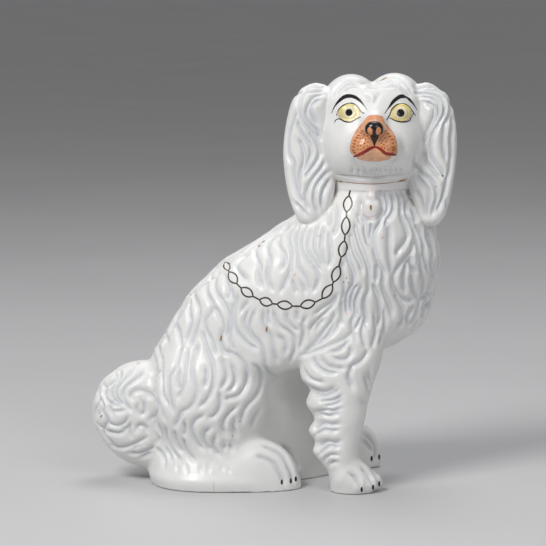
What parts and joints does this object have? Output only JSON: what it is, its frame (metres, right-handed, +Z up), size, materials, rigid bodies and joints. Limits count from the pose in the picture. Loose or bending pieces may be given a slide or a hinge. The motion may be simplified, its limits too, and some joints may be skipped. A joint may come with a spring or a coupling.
{
  "type": "ceramic dog figurine",
  "caption": "Seated glazed earthenware spaniel mantel figurine, head turned to the viewer, with long ears, curled tail, collar with padlock, and a painted chain over the shoulder.",
  "frame": {"origin": "on the floor, at the middle of the figure's length and depth", "axes": "+Z up; the dog sits facing +X, its tail towards -X; its head is turned to face -Y, the show side"},
  "size_m": [0.29, 0.135, 0.325],
  "materials": {
    "white_glaze": "glossy clear glaze, bluish where it pools",
    "collar_glaze": "glossy glaze with rubbed pink and gilt lines",
    "yellow_enamel": "glossy overglaze enamel",
    "orange_enamel": "glossy overglaze enamel, brushed",
    "black_enamel": "glossy overglaze enamel"
  },
  "bodies": {
    "root": {"right_body_shell": "white_glaze", "left_body_shell": "white_glaze", "base_slab": "white_glaze", "face_shell": "white_glaze", "back_head_shell": "white_glaze", "right_ear": "white_glaze", "left_ear": "white_glaze", "tail": "white_glaze", "right_front_leg": "white_glaze", "left_front_leg": "white_glaze", "right_hind_foot": "white_glaze", "left_hind_foot": "white_glaze", "collar": "collar_glaze", "padlock": "collar_glaze", "right_eye": "yellow_enamel", "left_eye": "yellow_enamel", "muzzle": "orange_enamel", "nose": "black_enamel"}
  },
  "joints": []
}
